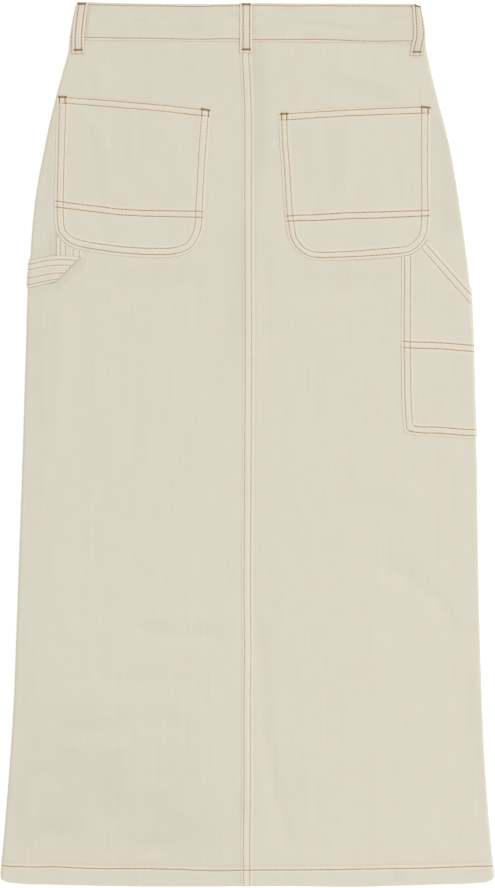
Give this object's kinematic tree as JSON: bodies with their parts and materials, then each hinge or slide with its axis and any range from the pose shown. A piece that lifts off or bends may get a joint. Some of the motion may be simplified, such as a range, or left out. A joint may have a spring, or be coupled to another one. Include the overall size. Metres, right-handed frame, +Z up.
{
  "type": "denim skirt",
  "caption": "Long A-line skirt in undyed denim with patch pockets, a tool pocket and a hammer loop, laid flat with its back up.",
  "frame": {"origin": "middle of the skirt's bounding box, on the surface it lies on", "axes": "+Y towards the waistband, +Z up from the surface, so the skirt's back faces +Z; +X towards the wearer's right"},
  "size_m": [0.5177, 0.9287, 0.0122],
  "materials": {
    "denim": "undyed twill, washed, matt",
    "thread": "golden brown sewing thread",
    "button_metal": "aged brass, satin"
  },
  "bodies": {
    "root": {"back_left": "denim", "back_right": "denim", "front_left": "denim", "front_right": "denim", "waistband": "denim", "belt_loop_left": "denim", "belt_loop_back": "denim", "belt_loop_right": "denim", "belt_loop_front_left": "denim", "belt_loop_front_right": "denim", "pocket_left": "denim", "pocket_right": "denim", "tool_pocket": "denim", "hammer_loop_drop": "denim", "hammer_loop_cross": "denim", "button": "button_metal"}
  },
  "joints": []
}
